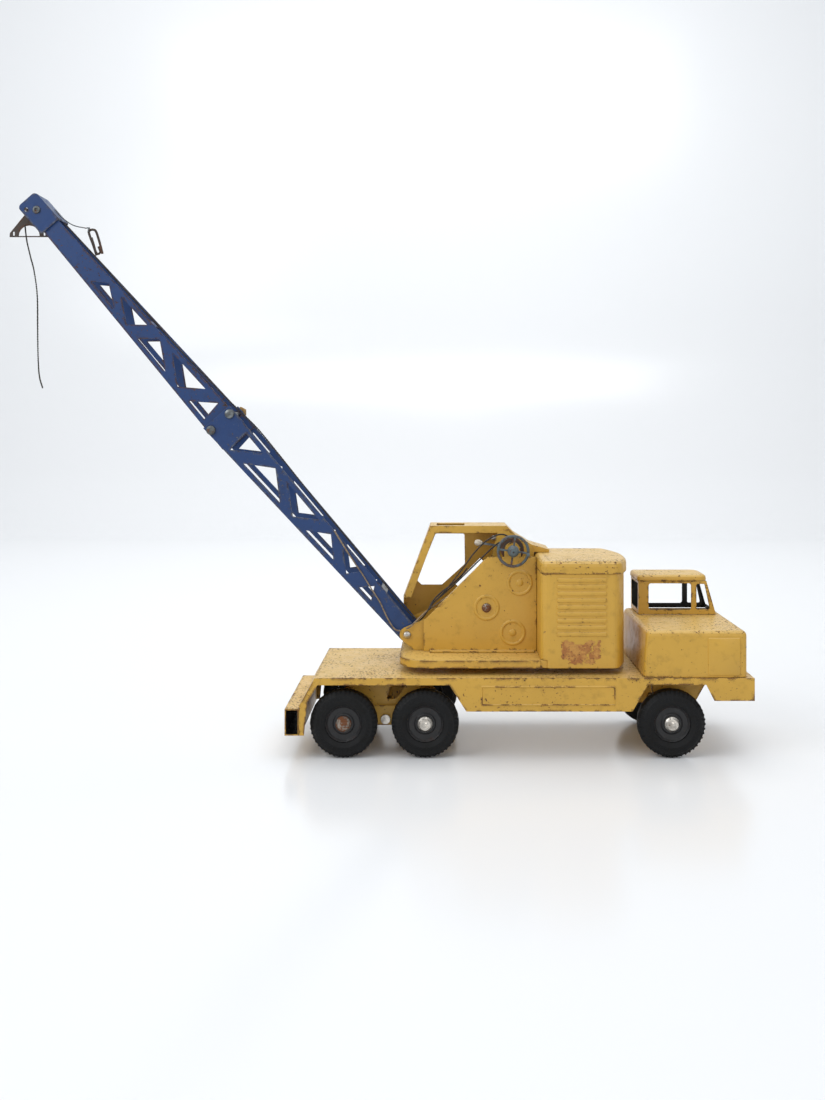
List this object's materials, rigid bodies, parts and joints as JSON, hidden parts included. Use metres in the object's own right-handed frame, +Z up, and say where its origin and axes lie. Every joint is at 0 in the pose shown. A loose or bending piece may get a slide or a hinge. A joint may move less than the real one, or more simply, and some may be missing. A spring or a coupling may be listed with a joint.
{
  "type": "toy crane truck",
  "caption": "Pressed steel toy crane truck with a slewing house, a latticed boom that raises and lowers, a winch wheel, and rubber tyres on axles and a rocking bogie.",
  "frame": {"origin": "middle of the footprint, on the ground under the tyres, with the crane's boom pointing back over the tail", "axes": "+X along the truck towards the driver's cab and its front, +Y to the truck's left, +Z up"},
  "size_m": [0.7248, 0.14, 0.54],
  "materials": {
    "base_pan": "worn yellow enamel on pressed sheet, chipped to dark primer and rust",
    "bogie_beam": "worn yellow enamel on pressed sheet, chipped to dark primer and rust",
    "bogie_hanger": "worn yellow enamel on pressed sheet, chipped to dark primer and rust",
    "bogie_pin": "dull nickel plate with rust spots",
    "boom_ear_left": "worn dark blue enamel, rubbed to grey metal and rust on its edges",
    "boom_ear_right": "worn dark blue enamel, rubbed to grey metal and rust on its edges",
    "boom_lower_left": "worn dark blue enamel, rubbed to grey metal and rust on its edges",
    "boom_lower_right": "worn dark blue enamel, rubbed to grey metal and rust on its edges",
    "boom_tie_high": "worn dark blue enamel, rubbed to grey metal and rust on its edges",
    "boom_tie_low": "dull grey steel",
    "boom_upper_left": "worn dark blue enamel, rubbed to grey metal and rust on its edges",
    "boom_upper_right": "worn dark blue enamel, rubbed to grey metal and rust on its edges",
    "cabin_roof": "worn yellow enamel on pressed sheet, chipped to dark primer and rust",
    "cabin_walls": "worn yellow enamel on pressed sheet, chipped to dark primer and rust",
    "clip_wire": "dull grey steel",
    "deck_frame": "worn yellow enamel on pressed sheet, chipped to dark primer and rust",
    "foot_pin": "dull nickel plate with rust spots",
    "front_axle": "dull nickel plate with rust spots",
    "front_hanger": "worn yellow enamel on pressed sheet, chipped to dark primer and rust",
    "guide_pin": "dull nickel plate with rust spots",
    "guide_roller": "blue grey finish, worn",
    "hand_wheel": "blue grey finish, worn",
    "hanging_cord": "dark twisted cord",
    "head_block": "worn dark blue enamel, rubbed to grey metal and rust on its edges",
    "head_eyelet": "dull grey steel",
    "head_sheave": "dull nickel plate with rust spots",
    "hoist_cord_boom": "dark twisted cord",
    "hoist_cord_house": "dark twisted cord",
    "hood_body": "worn yellow enamel on pressed sheet, chipped to dark primer and rust",
    "hook_bracket": "dark brown, rusty",
    "hook_clip": "dull grey steel",
    "housing": "worn yellow enamel on pressed sheet, chipped to dark primer and rust",
    "housing_cap": "worn yellow enamel on pressed sheet, chipped to dark primer and rust",
    "inner_plate": "worn yellow enamel on pressed sheet, chipped to dark primer and rust",
    "joint_bolt_high": "tarnished brass coloured nut",
    "joint_bolt_low": "dull nickel plate with rust spots",
    "lever_arm": "blue grey finish, worn",
    "lever_knob": "yellowed ivory plastic",
    "operator_cab": "worn yellow enamel on pressed sheet, chipped to dark primer and rust",
    "rear_axle_1": "dull nickel plate with rust spots",
    "rear_axle_2": "dull nickel plate with rust spots",
    "rear_bumper": "worn yellow enamel on pressed sheet, chipped to dark primer and rust",
    "side_plate": "worn yellow enamel on pressed sheet, chipped to dark primer and rust",
    "slack_line_boom": "thin tan string",
    "slack_line_house": "thin tan string",
    "turntable": "worn yellow enamel on pressed sheet, chipped to dark primer and rust",
    "wheel_left_1_disc": "black disc with a rubbed bright hub cap",
    "wheel_left_1_tyre": "matt black rubber, dusty in its shoulder ribs",
    "wheel_left_2_disc": "black disc with a rubbed bright hub cap",
    "wheel_left_2_tyre": "matt black rubber, dusty in its shoulder ribs",
    "wheel_left_3_disc": "black disc with a rubbed bright hub cap",
    "wheel_left_3_tyre": "matt black rubber, dusty in its shoulder ribs",
    "wheel_right_1_disc": "black disc with a rubbed bright hub cap",
    "wheel_right_1_tyre": "matt black rubber, dusty in its shoulder ribs",
    "wheel_right_2_disc": "black disc with a rubbed bright hub cap",
    "wheel_right_2_tyre": "matt black rubber, dusty in its shoulder ribs",
    "wheel_right_3_disc": "black disc with a rubbed bright hub cap",
    "wheel_right_3_tyre": "matt black rubber, dusty in its shoulder ribs",
    "winch_shaft": "dull nickel plate with rust spots",
    "winch_spool": "blue grey finish, worn"
  },
  "bodies": {
    "carrier": {"deck_frame": "deck_frame", "rear_bumper": "rear_bumper", "hood_body": "hood_body", "cabin_walls": "cabin_walls", "cabin_roof": "cabin_roof", "front_hanger": "front_hanger", "bogie_hanger": "bogie_hanger", "bogie_pin": "bogie_pin", "turntable": "turntable", "front_axle": "front_axle"},
    "bogie": {"bogie_beam": "bogie_beam", "rear_axle_1": "rear_axle_1", "rear_axle_2": "rear_axle_2"},
    "wheel_right_1": {"wheel_right_1_disc": "wheel_right_1_disc", "wheel_right_1_tyre": "wheel_right_1_tyre"},
    "wheel_right_2": {"wheel_right_2_disc": "wheel_right_2_disc", "wheel_right_2_tyre": "wheel_right_2_tyre"},
    "wheel_right_3": {"wheel_right_3_disc": "wheel_right_3_disc", "wheel_right_3_tyre": "wheel_right_3_tyre"},
    "wheel_left_1": {"wheel_left_1_disc": "wheel_left_1_disc", "wheel_left_1_tyre": "wheel_left_1_tyre"},
    "wheel_left_2": {"wheel_left_2_disc": "wheel_left_2_disc", "wheel_left_2_tyre": "wheel_left_2_tyre"},
    "wheel_left_3": {"wheel_left_3_disc": "wheel_left_3_disc", "wheel_left_3_tyre": "wheel_left_3_tyre"},
    "house": {"base_pan": "base_pan", "housing": "housing", "housing_cap": "housing_cap", "side_plate": "side_plate", "inner_plate": "inner_plate", "operator_cab": "operator_cab", "boom_ear_right": "boom_ear_right", "boom_ear_left": "boom_ear_left", "foot_pin": "foot_pin", "guide_pin": "guide_pin", "hoist_cord_house": "hoist_cord_house", "slack_line_house": "slack_line_house"},
    "winch": {"winch_shaft": "winch_shaft", "winch_spool": "winch_spool", "hand_wheel": "hand_wheel"},
    "lever": {"lever_arm": "lever_arm", "lever_knob": "lever_knob"},
    "guide": {"guide_roller": "guide_roller"},
    "boom": {"boom_lower_right": "boom_lower_right", "boom_lower_left": "boom_lower_left", "boom_upper_right": "boom_upper_right", "boom_upper_left": "boom_upper_left", "boom_tie_low": "boom_tie_low", "boom_tie_high": "boom_tie_high", "joint_bolt_low": "joint_bolt_low", "joint_bolt_high": "joint_bolt_high", "head_block": "head_block", "head_eyelet": "head_eyelet", "clip_wire": "clip_wire", "hoist_cord_boom": "hoist_cord_boom", "slack_line_boom": "slack_line_boom"},
    "sheave": {"head_sheave": "head_sheave"},
    "bracket": {"hook_bracket": "hook_bracket", "hanging_cord": "hanging_cord"},
    "clip": {"hook_clip": "hook_clip"}
  },
  "joints": [
    {"name": "slew", "type": "hinge", "parent": "carrier", "child": "house", "pos_m": [0.1114, 0, 0.0816], "axis": [0, 0, 1], "continuous": true},
    {"name": "luff", "type": "hinge", "parent": "house", "child": "boom", "pos_m": [0.0381, 0.0182, 0.1039], "axis": [0, 1, 0], "range_deg": [-45, 4]},
    {"name": "bogie_rock", "type": "hinge", "parent": "carrier", "child": "bogie", "pos_m": [0.0186, 0, 0.03], "axis": [0, 1, 0], "range_deg": [-5, 5]},
    {"name": "winch_turn", "type": "hinge", "parent": "house", "child": "winch", "pos_m": [0.1414, -0.012, 0.1876], "axis": [0, 1, 0], "continuous": true},
    {"name": "lever_swing", "type": "hinge", "parent": "house", "child": "lever", "pos_m": [0.1414, 0.015, 0.1876], "axis": [0, 1, 0], "range_deg": [-45, 45]},
    {"name": "guide_turn", "type": "hinge", "parent": "house", "child": "guide", "pos_m": [0.1159, -0.012, 0.1312], "axis": [0, 1, 0], "continuous": true},
    {"name": "sheave_turn", "type": "hinge", "parent": "boom", "child": "sheave", "pos_m": [-0.33001, 0.0252, 0.52365], "axis": [0, 1, 0], "continuous": true},
    {"name": "bracket_swing", "type": "hinge", "parent": "boom", "child": "bracket", "pos_m": [-0.34047, 0.0182, 0.52405], "axis": [0, 1, 0], "range_deg": [-20, 60]},
    {"name": "clip_swing", "type": "hinge", "parent": "boom", "child": "clip", "pos_m": [-0.2828, 0.0182, 0.5066], "axis": [0, 1, 0], "range_deg": [-40, 40]},
    {"name": "wheel_right_1_turn", "type": "hinge", "parent": "carrier", "child": "wheel_right_1", "pos_m": [0.2865, -0.0595, 0.03175], "axis": [0, 1, 0], "continuous": true},
    {"name": "wheel_right_2_turn", "type": "hinge", "parent": "bogie", "child": "wheel_right_2", "pos_m": [0.0566, -0.0595, 0.03175], "axis": [0, 1, 0], "continuous": true},
    {"name": "wheel_right_3_turn", "type": "hinge", "parent": "bogie", "child": "wheel_right_3", "pos_m": [-0.0194, -0.0595, 0.03175], "axis": [0, 1, 0], "continuous": true},
    {"name": "wheel_left_1_turn", "type": "hinge", "parent": "carrier", "child": "wheel_left_1", "pos_m": [0.2865, 0.0595, 0.03175], "axis": [0, 1, 0], "continuous": true},
    {"name": "wheel_left_2_turn", "type": "hinge", "parent": "bogie", "child": "wheel_left_2", "pos_m": [0.0566, 0.0595, 0.03175], "axis": [0, 1, 0], "continuous": true},
    {"name": "wheel_left_3_turn", "type": "hinge", "parent": "bogie", "child": "wheel_left_3", "pos_m": [-0.0194, 0.0595, 0.03175], "axis": [0, 1, 0], "continuous": true}
  ]
}
